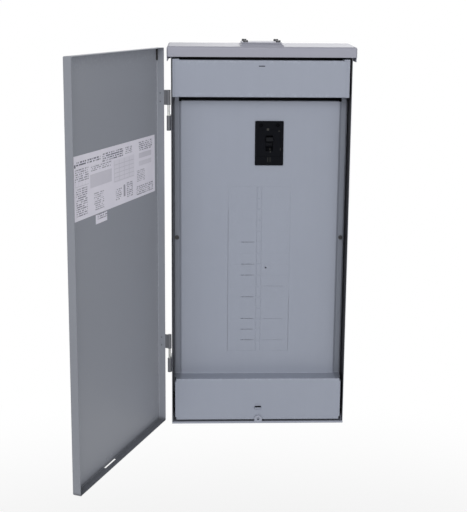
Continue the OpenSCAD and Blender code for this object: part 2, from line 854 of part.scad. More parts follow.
module neutral_lug() {
    w = 28;
    z0 = strap_z - 48;
    color(alu) difference() {
        union() {
            span([-w/2, neutral_y - 32, z0], [w/2, neutral_y - 7.6, z0 + 32]);
            span([-w/2, neutral_y - 10 + 2.4, z0], [w/2, neutral_y - 5, strap_z - 4]);
        }
        translate([0, neutral_y - 20, z0 - 1]) cylinder(h = 40, r = lug_r);
        rod_y(0, z0 + 16, neutral_y - 40, neutral_y - 20, 4);
    }
}

module neutral_lug_screw() {
    color(zinc) difference() {
        rod_y(0, strap_z - 32, neutral_y - 36, neutral_y - 29.4, 3.95);
        translate([0, neutral_y - 36, strap_z - 32]) rotate([90, 0, 0])
            cylinder(h = 8, r = 2.4, $fn = 6, center = true);
    }
}

ground_x = -158;
ground_z = twist_z - 60;
ground_count = 12;

module ground_bar() {
    shift = back_in - 10 - neutral_y;
    translate([0, shift, 0]) terminal_bar(ground_x, ground_z, ground_count);
}

module ground_bar_feet() {
    color(zinc) for (e = [-1, 1])
        span([ground_x - 6, back_in - 10, ground_z + e*50 - 6],
            [ground_x + 6, back_in, ground_z + e*50 + 6]);
}

module ground_bar_screws() {
    shift = back_in - 10 - neutral_y;
    translate([0, shift - 2, 0]) bar_screws(ground_x, ground_z, ground_count);
}

// green screw that bonds the neutral to the pan
module bonding_screw() {
    color([0.1, 0.45, 0.2]) translate([neutral_x - 26, pan_y - pan_t,
        neutral_z - bar_holes*bar_pitch*0.3]) rotate([90, 0, 0]) difference() {
            cylinder(h = 4, r = 4.6);
            translate([0, 0, 4]) cube([12, 1.2, 2.4], center = true);
        }
}

// ---------------------------------------------------------------- main breaker

module breaker_case() {
    color(black_plastic) difference() {
        span([breaker_x - case_w/2, case_split, breaker_z - case_h/2],
            [breaker_x + case_w/2, case_back, breaker_z + case_h/2]);
        // bays that take the line lugs, open at the top
        for (s = [-1, 1]) translate([breaker_x + s*20, 0, breaker_z + case_h/2])
            span([-13.5, case_split - 1, -28], [13.5, case_back - 4, 5]);
        // hollow for the working parts
        span([breaker_x - case_w/2 + 4, case_split - 1, breaker_z - case_h/2 + 6],
            [breaker_x + case_w/2 - 4, case_back - 5, breaker_z + case_h/2 - 34]);
    }
}

module breaker_face() {
    nw = window_w/2 - nose_gap;
    nh = window_h/2 - nose_gap;
    color(black_plastic) difference() {
        union() {
            span([breaker_x - case_w/2, case_front, breaker_z - case_h/2],
                [breaker_x + case_w/2, case_split, breaker_z + case_h/2]);
            span([breaker_x - nw, nose_y, breaker_z - nh],
                [breaker_x + nw, case_front + 1, breaker_z + nh]);
        }
        // handle slot: wide enough for the barrel of the handle to turn
        translate([breaker_x, handle_pin_y, breaker_z]) rotate([0, 90, 0])
            cylinder(h = handle_w + 1, r = handle_r + 0.6, center = true);
        span([breaker_x - handle_w/2 - 0.5, nose_y - 5, breaker_z - 17],
            [breaker_x + handle_w/2 + 0.5, handle_pin_y, breaker_z + 17]);
        translate([breaker_x, handle_pin_y, breaker_z]) rotate([0, 90, 0])
            cylinder(h = handle_w + 18, r = handle_pin_r, center = true);
        // sunk panel around the handle
        span([breaker_x - nw + 5, nose_y - 2, breaker_z - 30],
            [breaker_x + nw - 5, nose_y + 1.6, breaker_z + 30]);
        // access wells to the line terminals
        for (s = [-1, 1]) rod_y(breaker_x + s*18, breaker_z + nh - 9, nose_y - 5, nose_y + 6, 4.5);
        // bays over the line lugs, open at the top
        for (s = [-1, 1]) translate([breaker_x + s*20, 0, breaker_z + case_h/2])
            span([-13.5, case_front + 3, -28], [13.5, case_split + 5, 5]);
    }
}

// barrel on its pin with a stubby lever; at rest the lever leans up, at on
module breaker_handle() {
    lever = 24;
    color([0.12, 0.13, 0.16]) translate([breaker_x, handle_pin_y, breaker_z])
        rotate([-handle_swing/2, 0, 0]) difference() {
            union() {
                rotate([0, 90, 0]) cylinder(h = handle_w, r = handle_r, center = true);
                span([-handle_w/2, -lever, -4.5], [handle_w/2, 0, 4.5]);
            }
            rotate([0, 90, 0]) cylinder(h = handle_w + 4, r = handle_pin_r + 0.05, center = true);
        }
}

module handle_pin() {
    color(zinc) translate([breaker_x, handle_pin_y, breaker_z]) rotate([0, 90, 0])
        cylinder(h = handle_w + 17, r = handle_pin_r, center = true);
}

module line_lugs() {
    color(alu) for (s = [-1, 1]) translate([breaker_x + s*20, 0, breaker_z + case_h/2]) difference() {
        span([-12.5, case_split - 6, -27.9], [12.5, case_back - 4.1, -2]);
        translate([0, (case_split + case_back)/2 - 3, -30]) cylinder(h = 40, r = lug_r);
    }
}

module line_lug_screws() {
    color(zinc) for (s = [-1, 1]) translate([breaker_x + s*20, 0, breaker_z + case_h/2])
        difference() {
            rod_y(0, -15, case_split - 9, case_split - 6, 5);
            translate([0, case_split - 9, -15]) rotate([90, 0, 0])
                cylinder(h = 3, r = 2.6, $fn = 6, center = true);
        }
}

// bracket that carries the breaker on the pan
module breaker_bracket() {
    w = case_w + 24;
    color(zinc) difference() {
        union() {
            span([breaker_x - w/2, case_back, breaker_z - 40],
                [breaker_x + w/2, case_back + 2, breaker_z + 40]);
            for (s = [-1, 1]) {
                x0 = s > 0 ? breaker_x + w/2 - 14 : breaker_x - w/2;
                span([x0, case_back, breaker_z - 40], [x0 + 2, pan_y - pan_t, breaker_z + 40]);
            }
        }
        for (s = [-1, 1]) rod_y(breaker_x + s*(w/2 - 6), breaker_z, case_back - 5,
            case_back + 5, 2.2);
    }
}

module breaker_bracket_screws() {
    w = case_w + 24;
    color(zinc) for (s = [-1, 1]) {
        rod_y(breaker_x + s*(w/2 - 6), breaker_z, case_back - 3, case_back, 4.4);
        rod_y(breaker_x + s*(w/2 - 6), breaker_z, case_back, pan_y - pan_t - 0.1, 2.1);
    }
}

body_wrap();
bottom_plate();
knockout_discs();
rain_hood();
hub_plate();
hub_gasket();
hub_screws();
left_rail();
right_rail();
rail_screws();
gutter_cover();
breaker_cover();
twistouts_left();
twistouts_right();
cover_screws();
body_hinge_upper();
body_hinge_lower();
hinge_pins();
body_hinge_rivets();
door_hinge_upper();
door_hinge_lower();
door_hinge_rivets();
door_panel();
door_bumper();
door_label();
door_sticker();
interior_pan();
interior_screws();
bus_base();
bus_bar_a();
bus_bar_b();
bus_screws();
neutral_bar_left();
neutral_bar_right();
neutral_bar_screws();
neutral_feet();
neutral_strap();
neutral_lug();
neutral_lug_screw();
ground_bar();
ground_bar_feet();
ground_bar_screws();
bonding_screw();
breaker_case();
breaker_face();
breaker_handle();
handle_pin();
line_lugs();
line_lug_screws();
breaker_bracket();
breaker_bracket_screws();
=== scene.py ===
"""Outdoor load-centre enclosure with its door open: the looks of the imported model, in metres."""
import json
import math

import bmesh
import bpy
import numpy as np
from mathutils import Matrix


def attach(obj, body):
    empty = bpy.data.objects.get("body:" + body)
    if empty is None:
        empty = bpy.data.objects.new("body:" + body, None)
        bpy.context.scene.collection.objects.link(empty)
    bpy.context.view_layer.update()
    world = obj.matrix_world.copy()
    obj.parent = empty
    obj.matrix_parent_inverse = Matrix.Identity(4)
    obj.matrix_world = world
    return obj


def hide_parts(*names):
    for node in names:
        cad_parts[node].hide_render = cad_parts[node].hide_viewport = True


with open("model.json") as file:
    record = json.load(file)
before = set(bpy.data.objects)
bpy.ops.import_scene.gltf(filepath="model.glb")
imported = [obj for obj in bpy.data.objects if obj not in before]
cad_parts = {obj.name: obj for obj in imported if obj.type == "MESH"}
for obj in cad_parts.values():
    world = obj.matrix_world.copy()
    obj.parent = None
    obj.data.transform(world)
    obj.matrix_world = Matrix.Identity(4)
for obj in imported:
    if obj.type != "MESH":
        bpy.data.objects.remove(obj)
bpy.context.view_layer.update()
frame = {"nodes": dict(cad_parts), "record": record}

MM = 0.001
RECORD = frame["record"]
SLOT_OF = {part["node"]: part["material_slot"] for part in RECORD["subparts"]}
BODY_OF = {node: body for body, nodes in RECORD["behaviour"]["bodies"].items() for node in nodes}

# the door stands open by this angle from closed, about the hinge axis
DOOR_OPEN = math.radians(112.7)
HINGE_AXIS = np.array([-199.3, -111.9, 0.0])


# ------------------------------------------------------------------ shader kit


class Value:
    """A number that changes over a surface: a socket with arithmetic on it."""

    def __init__(self, finish, socket):
        self.finish = finish
        self.socket = socket

    def math(self, operation, *others):
        node = self.finish.node("Math", {"operation": operation}, dict(enumerate((self, *others))))
        return Value(self.finish, node.outputs[0])

    def reflected(self, operation, other):
        node = self.finish.node("Math", {"operation": operation}, {0: other, 1: self})
        return Value(self.finish, node.outputs[0])

    def __add__(self, other):
        return self.math("ADD", other)

    def __sub__(self, other):
        return self.math("SUBTRACT", other)

    def __rsub__(self, other):
        return self.reflected("SUBTRACT", other)

    def __mul__(self, other):
        return self.math("MULTIPLY", other)

    def __truediv__(self, other):
        return self.math("DIVIDE", other)

    def __gt__(self, other):
        return self.math("GREATER_THAN", other)

    def __lt__(self, other):
        return self.math("LESS_THAN", other)

    __radd__ = __add__
    __rmul__ = __mul__

    def most(self, other):
        return self.math("MAXIMUM", other)

    def floor(self):
        return self.math("FLOOR")

    def fraction(self):
        return self.math("FRACT")

    def size(self):
        return self.math("ABSOLUTE")

    def eased(self, low, high):
        """0 below low, 1 above high, and smooth between."""
        sockets = {"Value": self, "From Min": low, "From Max": high}
        node = self.finish.node("MapRange", {"interpolation_type": "SMOOTHSTEP"}, sockets)
        return Value(self.finish, node.outputs["Result"])


class Finish:
    """One node material, built up from a Principled shader."""

    def __init__(self, name):
        self.material = bpy.data.materials.new(name)
        self.material.use_nodes = True
        self.tree = self.material.node_tree
        self.tree.nodes.clear()
        self.place = self.node("TexCoord").outputs["Object"]

    def node(self, kind, settings=None, sockets=None):
        """Adds a node of a type, sets its settings, then feeds its sockets."""
        node = self.tree.nodes.new("ShaderNode" + kind)
        for key, setting in (settings or {}).items():
            setattr(node, key, setting)
        for key, source in (sockets or {}).items():
            self.feed(node.inputs[key], source)
        return node

    def feed(self, socket, source):
        if isinstance(source, Value):
            source = source.socket
        if isinstance(source, bpy.types.NodeSocket):
            self.tree.links.new(source, socket)
        else:
            socket.default_value = source

    def scaled(self, scale):
        """Object coordinates stretched by a factor on each axis."""
        return self.node("Mapping", None, {"Vector": self.place, "Scale": scale}).outputs["Vector"]

    def noise(self, scale, detail=2.0, roughness=0.5, place=None):
        sockets = {"Scale": scale, "Detail": detail, "Roughness": roughness}
        sockets["Vector"] = place or self.place
        return Value(self, self.node("TexNoise", None, sockets).outputs["Fac"])

    def blend(self, low, high, factor):
        """Colour that goes from low to high with a factor."""
        mix = self.node("Mix", {"data_type": "RGBA"}, {0: factor, 6: low, 7: high})
        return mix.outputs[2]

    def bump(self, height, strength, distance, below=None):
        sockets = {"Height": height, "Strength": strength, "Distance": distance}
        if below is not None:
            sockets["Normal"] = below
        return self.node("Bump", None, sockets).outputs["Normal"]

    def finished(self, sockets):
        shader = self.node("BsdfPrincipled", None, sockets)
        self.node("OutputMaterial", None, {"Surface": shader.outputs[0]})
        return self.material


def shade(colour, factor):
    """A colour made lighter or darker, with full alpha."""
    return (*[min(1.0, c * factor) for c in colour], 1.0)


# ------------------------------------------------------------------ finishes


def powder_coat(name, colour, roughness, painted_shade_reach=None):
    """Baked powder paint: fine orange peel, slow drift of tone, faint rubs along the folds, and
    painted shade where a piece's own attribute for it says so. Nearer to the middle of the box
    than the given reach across, in millimetres, the paint turns to near-black painted shade."""
    f = Finish(name)
    drift = f.noise(7.0, 3.0)
    speck = f.noise(1600.0, 1.0)
    streak = f.noise(1.0, 3.0, 0.6, f.scaled((70.0, 70.0, 4.0)))
    fold = Value(f, f.node("Attribute", {"attribute_name": "fold"}).outputs["Fac"])
    rub = fold * f.noise(160.0, 3.0).eased(0.45, 0.75)
    cast = drift * 0.5 + streak * 0.3 + speck * 0.2
    tone = f.blend(shade(colour, 0.94), shade(colour, 1.05), cast)
    tone = f.blend(tone, shade(colour, 1.28), rub * 0.5)
    # painted shade: the paint turns darker where a piece's own attribute for it says so
    painted_shade = Value(f, f.node("Attribute", {"attribute_name": "painted_shade"}).outputs["Fac"])
    tone = f.blend(tone, shade(colour, 0.25), painted_shade * (0.92 + 0.08 * drift))
    # near-black painted shade on the inner faces of the walls, standing in for the shadow inside the
    # box
    if painted_shade_reach is not None:
        axes = f.node("SeparateXYZ", None, {0: f.place})
        across = Value(f, axes.outputs["X"])
        deep = Value(f, axes.outputs["Y"])
        painted_shade_inside = (across.size() < painted_shade_reach * MM) * (deep < -0.8 * MM)
        tone = f.blend(tone, (0.006, 0.006, 0.008, 1.0), painted_shade_inside)
    peel = f.bump(f.noise(650.0, 2.0), 0.10, 0.0004)
    wave = f.bump(f.noise(16.0, 1.0), 0.10, 0.004, peel)
    gloss = roughness + drift * 0.10 + streak * 0.08 - rub * 0.08
    return f.finished(
        {"Base Color": tone, "Roughness": gloss, "Normal": wave, "Specular IOR Level": 0.42}
    )


def plated(name, colour, tint, roughness):
    """Bright plated steel: cloudy shade, faint tint, fine drawn lines."""
    f = Finish(name)
    cloud = f.noise(90.0, 4.0, 0.6)
    lines = f.noise(1.0, 2.0, 0.5, f.scaled((2600.0, 2600.0, 120.0)))
    tone = f.blend(shade(colour, 0.82), shade(tint, 1.0), cloud.eased(0.3, 0.7))
    bump = f.bump(lines, 0.12, 0.0001)
    gloss = roughness + cloud * 0.16 + lines * 0.08 - 0.10
    return f.finished({"Base Color": tone, "Metallic": 1.0, "Roughness": gloss, "Normal": bump})


def extruded(name, colour, roughness):
    """Bare extruded aluminium: die lines along the length and dull patches."""
    f = Finish(name)
    dies = f.noise(1.0, 3.0, 0.7, f.scaled((3000.0, 3000.0, 12.0)))
    patch = f.noise(60.0, 3.0)
    tone = f.blend(shade(colour, 0.8), shade(colour, 1.04), dies * 0.6 + patch * 0.4)
    bump = f.bump(dies, 0.25, 0.0001)
    gloss = roughness + patch * 0.15
    return f.finished({"Base Color": tone, "Metallic": 1.0, "Roughness": gloss, "Normal": bump})


def moulded(name, colour, roughness, grain, shine=0.45, marks=()):
    """Moulded plastic: spark-eroded grain, cloudy gloss, a trace of dust, and small plain marks
    given by their middle and half sizes across and upwards, in millimetres."""
    f = Finish(name)
    texture = f.noise(grain, 2.0)
    cloud = f.noise(35.0, 3.0)
    dust = f.noise(220.0, 4.0, 0.7).eased(0.55, 0.85) * 0.35
    tone = f.blend(shade(colour, 0.85), shade(colour, 1.15), cloud)
    tone = f.blend(tone, (0.06, 0.06, 0.065, 1.0), dust * 0.15)
    if marks:
        axes = f.node("SeparateXYZ", None, {0: f.place})
        x = Value(f, axes.outputs["X"])
        z = Value(f, axes.outputs["Z"])
        for mark_x, mark_z, half_x, half_z, light in marks:
            across = ((x - mark_x * MM) / (half_x * MM)).size()
            upward = ((z - mark_z * MM) / (half_z * MM)).size()
            tone = f.blend(tone, (light, light, light * 0.96, 1.0), across.most(upward) < 1.0)
    bump = f.bump(texture, 0.22, 0.00012)
    gloss = roughness + cloud * 0.12 + dust * 0.2
    return f.finished(
        {"Base Color": tone, "Roughness": gloss, "Normal": bump, "Specular IOR Level": shine}
    )


def foam_rubber(name, colour):
    """Closed-cell foam: small cells with a dull skin."""
    f = Finish(name)
    cells = f.node("TexVoronoi", None, {"Vector": f.place, "Scale": 900.0})
    depth = Value(f, cells.outputs["Distance"])
    tone = f.blend(shade(colour, 0.7), shade(colour, 1.6), depth)
    bump = f.bump(depth, 0.4, 0.0004)
    return f.finished({"Base Color": tone, "Roughness": 0.75 + depth * 0.2, "Normal": bump})


# printed blocks of the door label, in millimetres from its lower left corner:
# left, right, low, high, line pitch, inked share of a line, letter width, darkness
TEXT_BLOCKS = (
    (10, 104, 104, 113, 4.6, 0.6, 2.6, 0.9),
    (112, 200, 98, 115, 4.4, 0.55, 2.3, 0.85),
    (210, 240, 100, 115, 3.8, 0.5, 2.0, 0.75),
    (272, 336, 98, 117, 4.0, 0.5, 2.2, 0.8),
    (5, 56, 74, 98, 4.2, 0.5, 2.2, 0.7),
    (8, 50, 8, 62, 4.2, 0.5, 2.2, 0.75),
    (66, 148, 86, 97, 3.6, 0.5, 2.0, 0.7),
    (76, 116, 8, 44, 4.0, 0.5, 2.1, 0.6),
    (166, 192, 12, 36, 4.0, 0.5, 2.1, 0.7),
    (214, 242, 10, 40, 4.0, 0.5, 2.1, 0.7),
    (258, 340, 6, 26, 4.0, 0.5, 2.2, 0.75),
    (262, 300, 34, 58, 3.6, 0.5, 2.0, 0.55),
)
# filled panels, bars and plain symbols: left, right, low, high, darkness
FILLED_BARS = (
    (62, 150, 54, 80, 0.22),
    (158, 250, 48, 94, 0.08),
    (272, 332, 82, 93, 0.24),
    (272, 332, 66, 76, 0.16),
    (2.0, 7.5, 101, 107, 0.9),
    (200, 208, 14, 38, 0.6),
)
# ruled diagrams: left, right, low, high, columns, rows
DIAGRAMS = (
    (5, 56, 64, 72, 4, 1),
    (160, 248, 50, 92, 4, 5),
)


def printed_vinyl(name, width, height):
    """White vinyl with generic printing: lines of word-like dashes, bars and ruled boxes."""
    f = Finish(name)
    own = f.node("UVMap", {"uv_map": "print"}).outputs["UV"]
    axes = f.node("SeparateXYZ", None, {0: own})
    u = Value(f, axes.outputs["X"]) * width
    v = Value(f, axes.outputs["Y"]) * height

    def within(left, right, low, high):
        return (u > left) * (u < right) * (v > low) * (v < high)

    ink = Value(f, axes.outputs["X"]) * 0.0
    for left, right, low, high, pitch, share, letter, dark in TEXT_BLOCKS:
        level = (v - low) / pitch
        row = level.floor()
        column = ((u - left) / letter + row * 0.37).floor()
        cell = f.node("CombineXYZ", None, {"X": column, "Y": row, "Z": float(left)}).outputs[0]
        chance = Value(f, f.node("TexWhiteNoise", None, {"Vector": cell}).outputs["Value"])
        words = (chance > 0.34) * (level.fraction() < share)
        ink = ink.most(within(left, right, low, high) * words * dark)
    for left, right, low, high, dark in FILLED_BARS:
        ink = ink.most(within(left, right, low, high) * dark)
    for left, right, low, high, columns, rows in DIAGRAMS:
        across = ((u - left) / ((right - left) / columns)).fraction()
        upward = ((v - low) / ((high - low) / rows)).fraction()
        ruled = (across < 0.06).most(upward < 0.14)
        ink = ink.most(within(left, right, low, high) * ruled * 0.3)
    cloud = f.noise(25.0, 3.0)
    paper = f.blend((0.76, 0.74, 0.84, 1.0), (0.86, 0.84, 0.92, 1.0), cloud)
    tone = f.blend(paper, (0.06, 0.06, 0.10, 1.0), ink)
    crease = f.bump(f.noise(30.0, 2.0), 0.12, 0.001)
    return f.finished({"Base Color": tone, "Roughness": 0.34 + cloud * 0.12, "Normal": crease})


# plain marks on the face of the breaker, in millimetres: middle across and up, half sizes, tone
FACE_MARKS = (
    (16.7, 243.0, 2.6, 2.6, 0.050),
    (41.5, 239.6, 1.8, 1.2, 0.035),
    (22.6, 197.0, 0.9, 4.8, 0.045),
    (17.0, 176.5, 0.9, 5.0, 0.030),
    (22.2, 176.5, 0.9, 5.0, 0.030),
    (44.6, 199.5, 0.8, 3.0, 0.040),
)

ENCLOSURE_GREY = (0.315, 0.335, 0.400)
BREAKER_BLACK = (0.0035, 0.0040, 0.0060)
# the painted shade inside the side walls reaches out to this far from the middle of the box, just
# under the outer skin
PAINTED_SHADE_HALF = 193.2

FINISHES = {
    "enclosure_paint": powder_coat("enclosure_paint", ENCLOSURE_GREY, 0.36),
    "hood_paint": powder_coat("hood_paint", (0.318, 0.322, 0.380), 0.36),
    "cover_paint": powder_coat("cover_paint", (0.300, 0.325, 0.392), 0.40),
    "door_paint": powder_coat("door_paint", (0.285, 0.300, 0.340), 0.34),
    "zinc_plate": plated("zinc_plate", (0.62, 0.63, 0.64), (0.66, 0.66, 0.62), 0.34),
    "dark_screw": plated("dark_screw", (0.07, 0.07, 0.075), (0.11, 0.11, 0.115), 0.42),
    "tin_plate": plated("tin_plate", (0.66, 0.66, 0.64), (0.70, 0.70, 0.69), 0.40),
    "lug_aluminium": extruded("lug_aluminium", (0.74, 0.75, 0.76), 0.30),
    "hinge_paint": powder_coat("hinge_paint", (0.150, 0.155, 0.170), 0.42),
    "black_plastic": moulded("black_plastic", BREAKER_BLACK, 0.60, 1500.0, 0.06),
    "handle_plastic": moulded("handle_plastic", (0.0045, 0.0050, 0.0070), 0.50, 2200.0, 0.10),
    "grey_plastic": moulded("grey_plastic", (0.060, 0.065, 0.070), 0.45, 1500.0),
    "gasket_rubber": foam_rubber("gasket_rubber", (0.02, 0.02, 0.02)),
    "green_screw": plated("green_screw", (0.03, 0.22, 0.08), (0.04, 0.30, 0.12), 0.36),
}


# ------------------------------------------------------------------ mesh kit

BEND_STEPS = 5


def turned_open(points):
    """The closed door's points turned about the hinge axis to where the door stands."""
    cos, sin = math.cos(-DOOR_OPEN), math.sin(-DOOR_OPEN)
    turn = np.array([[cos, -sin, 0.0], [sin, cos, 0.0], [0.0, 0.0, 1.0]])
    return (points - HINGE_AXIS) @ turn.T + HINGE_AXIS


def bent(corners, radii, main, steps=BEND_STEPS):
    """Profile of a bent sheet: straight runs between corners, each inner corner swept on its
    radius. The stations are the lengths along it, counted so that on run `main` they equal
    the first coordinate, or its opposite where that run goes backwards."""
    p = np.array(corners, float)
    run = np.diff(p, axis=0)
    way = run / np.hypot(run[:, 0], run[:, 1])[:, None]
    enter, leave = way[:-1], way[1:]
    cross = enter[:, 0] * leave[:, 1] - enter[:, 1] * leave[:, 0]
    turn = np.arctan2(cross, (enter * leave).sum(1))
    radii = np.broadcast_to(np.array(radii, float), turn.shape)
    side = np.sign(turn)
    left = np.stack([-enter[:, 1], enter[:, 0]], 1) * side[:, None]
    start = p[1:-1] - enter * (radii * np.tan(abs(turn) / 2))[:, None]
    swept = np.linspace(0.0, 1.0, steps + 1)[None, :, None] * abs(turn)[:, None, None]
    reach = radii[:, None, None]
    ahead = enter[:, None] * reach * np.sin(swept)
    aside = left[:, None] * reach * (1 - np.cos(swept))
    arcs = start[:, None] + ahead + aside
    line = np.vstack([p[:1], arcs.reshape(-1, 2), p[-1:]])
    stations = np.concatenate([[0.0], np.cumsum(np.hypot(*np.diff(line, axis=0).T))])
    first = main * (steps + 1)
    forward = way[main, 0]
    return stations - stations[first] + line[first, 0] * forward, line


def tray(low, high, deep, radius):
    """Profile of a flat face whose two ends sweep back to a depth."""
    return bent([(low, deep), (low, 0), (high, 0), (high, deep)], radius, 1)


def along(profile, stations):
    """Both coordinates of a bent profile at given stations."""
    known, line = profile
    return np.interp(stations, known, line[:, 0]), np.interp(stations, known, line[:, 1])


def hole_lines(holes, axis, steps=4):
    """Grid lines for holes: at both edges of each, and through its rounded corners."""
    part = np.linspace(0.0, 1.0, steps + 1)
    lines = [h[axis] + side * (h[axis + 2] - h[4] + h[4] * part) for h in holes for side in (-1, 1)]
    return np.concatenate(lines) if lines else np.zeros(0)


def merged_lines(*groups):
    """All grid lines in order, with those closer than a hundredth of a millimetre made one."""
    lines = np.sort(np.concatenate([np.ravel(g) for g in groups]))
    return lines[np.concatenate([[True], np.diff(lines) > 0.01])]


def rimmed(length, rim, rim_steps, steps):
    """Grid lines along a length, closer together near its two ends."""
    near = np.linspace(0, rim, rim_steps)
    return merged_lines(near, np.linspace(rim, length - rim, steps), length - near)


def rounded_holes(S, T, holes):
    """Pulls the grid points on a hole's edge on to its corner arcs: a point that far up the
    corner square goes to the same share of the first or the last 45 degrees of the arc."""
    for cs, ct, hs, ht, r in holes:
        ds, dt = S - cs, T - ct
        near = 0.02
        on_side = (abs(abs(ds) - hs) < near) & (abs(dt) > ht - r) & (abs(dt) < ht + near)
        on_end = (abs(abs(dt) - ht) < near) & (abs(ds) > hs - r) & (abs(ds) < hs + near)
        on_end &= ~on_side
        rise = np.where(on_side, (abs(dt) - (ht - r)) / r, 2.0 - (abs(ds) - (hs - r)) / r)
        angle = np.clip(rise, 0.0, 2.0) * math.pi / 4
        moved = on_side | on_end
        S = np.where(moved, cs + np.sign(ds) * (hs - r + r * np.cos(angle)), S)
        T = np.where(moved, ct + np.sign(dt) * (ht - r + r * np.sin(angle)), T)
    return S, T


def grid_cells(grid):
    """Four corner numbers of every cell of a grid of points."""
    index = np.arange(grid.size).reshape(grid.shape)
    return np.stack([index[:-1, :-1], index[1:, :-1], index[1:, 1:], index[:-1, 1:]], -1)


def sheet_mesh(
    name, s_lines, t_lines, holes, kept, place, painted=None, flipped=False, printed=False
):
    """Surface on a grid of two lengths s and t of the flat sheet. `kept` says which cells are
    there, holes are cut out and rounded, and `place` carries the flat points to their places.
    `painted` gives the named values from 0 to 1 that the paint reads."""
    S, T = np.meshgrid(s_lines, t_lines, indexing="ij")
    cs = (S[1:, 1:] + S[:-1, :-1]) / 2
    ct = (T[1:, 1:] + T[:-1, :-1]) / 2
    there = kept(cs, ct)
    for hs, ht, half_s, half_t, _ in holes:
        there &= (abs(cs - hs) > half_s) | (abs(ct - ht) > half_t)
    flat_s, flat_t = rounded_holes(S, T, holes)
    points = np.stack(place(flat_s, flat_t), -1).reshape(-1, 3) * MM
    cells = grid_cells(S)[there]
    if flipped:
        cells = cells[:, ::-1]
    used, cells = np.unique(cells, return_inverse=True)
    cells = cells.reshape(-1, 4)
    mesh = bpy.data.meshes.new(name)
    mesh.from_pydata(points[used], [], cells)
    for key, value in (painted or {}).items():
        layer = mesh.attributes.new(key, "FLOAT", "POINT")
        layer.data.foreach_set("value", value(S, T).ravel()[used].astype(np.float32))
    if printed:
        own = mesh.uv_layers.new(name="print")
        u = (S.ravel()[used] - s_lines[0]) / (s_lines[-1] - s_lines[0])
        v = (T.ravel()[used] - t_lines[0]) / (t_lines[-1] - t_lines[0])
        loops = cells.ravel()
        own.uv.foreach_set("vector", np.stack([u[loops], v[loops]], -1).ravel().astype(np.float32))
    mesh.validate()
    return mesh


def ease_edges(piece, width, segments, angle):
    """Rounds a piece's edges that are sharper than an angle."""
    modifier = piece.modifiers.new("eased_edges", "BEVEL")
    modifier.width = width * MM
    modifier.segments = segments
    modifier.limit_method = "ANGLE"
    modifier.angle_limit = math.radians(angle)
    modifier.miter_outer = "MITER_ARC"


def made_final(piece):
    """Turns the piece's modifiers into mesh."""
    graph = bpy.context.evaluated_depsgraph_get()
    mesh = bpy.data.meshes.new_from_object(piece.evaluated_get(graph))
    piece.modifiers.clear()
    piece.data = mesh
    return mesh


def built(piece, smooth_angle=32.0):
    """Makes the modifiers final, then smooths across all but the sharp edges, with the broad
    faces weighing most so that they stay flat up to their eased edges."""
    mesh = made_final(piece)
    mesh.shade_smooth()
    mesh.set_sharp_from_angle(angle=math.radians(smooth_angle))
    broad = piece.modifiers.new("broad_faces", "WEIGHTED_NORMAL")
    broad.keep_sharp = True
    made_final(piece)


def standing_for(piece, *nodes):
    """Attaches a piece to the body of the nodes it stands for, hides those nodes, and gives the piece
    the material of their finish slot.
    """
    slot = SLOT_OF[nodes[0]]
    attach(piece, BODY_OF[nodes[0]])
    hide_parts(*nodes)
    piece.data.materials.clear()
    piece.data.materials.append(FINISHES[slot])
    return piece


def sheet_piece(name, mesh, thickness, node, edge=0.25):
    """A sheet given its thickness behind the drawn face, with its cut edges eased."""
    piece = bpy.data.objects.new(name, mesh)
    bpy.context.scene.collection.objects.link(piece)
    wall = piece.modifiers.new("thickness", "SOLIDIFY")
    wall.thickness = thickness * MM
    wall.offset = -1.0
    wall.use_even_offset = True
    ease_edges(piece, edge, 2, 50.0)
    built(piece)
    return standing_for(piece, node)


def softened(node, width, segments=2, angle=34.0):
    """A copy of a CAD node: its triangles merged into whole faces and its edges eased."""
    source = frame["nodes"][node]
    work = bmesh.new()
    work.from_mesh(source.data)
    bmesh.ops.remove_doubles(work, verts=work.verts, dist=0.002 * MM)
    bmesh.ops.dissolve_limit(work, angle_limit=math.radians(0.6), verts=work.verts, edges=work.edges)
    mesh = bpy.data.meshes.new(node + "_look")
    work.to_mesh(mesh)
    work.free()
    piece = bpy.data.objects.new(node + "_look", mesh)
    bpy.context.scene.collection.objects.link(piece)
    ease_edges(piece, width, segments, angle)
    built(piece)
    return standing_for(piece, node)


def everywhere(s, t):
    return np.ones(s.shape, bool)


# ------------------------------------------------------------------ door


DOOR_HALF = 196.5
DOOR_FACE = -138.5
DOOR_DEEP = 17.5
DOOR_LOW = -419.0
DOOR_HIGH = 421.0
DOOR_SHEET = 1.2
DOOR_BEND = 2.6
DOOR_BELLY = 0.35
LATCH_X = 48.7
LATCH_HALF = 23.5
LATCH_NEAR = 1.6
LATCH_FAR = 6.0
BOSSES_X = (35.4, 56.0)
BOSS_Z = -406.0
BOSS_R = 2.8
BOSS_HIGH = 0.8


def belly(x, z):
    """The door's broad face bows inwards by a fraction of a millimetre: a half wave each way."""
    across = np.cos(np.clip(x / DOOR_HALF, -1, 1) * math.pi / 2)
    return DOOR_BELLY * across * np.cos(z / DOOR_HIGH * math.pi / 2)


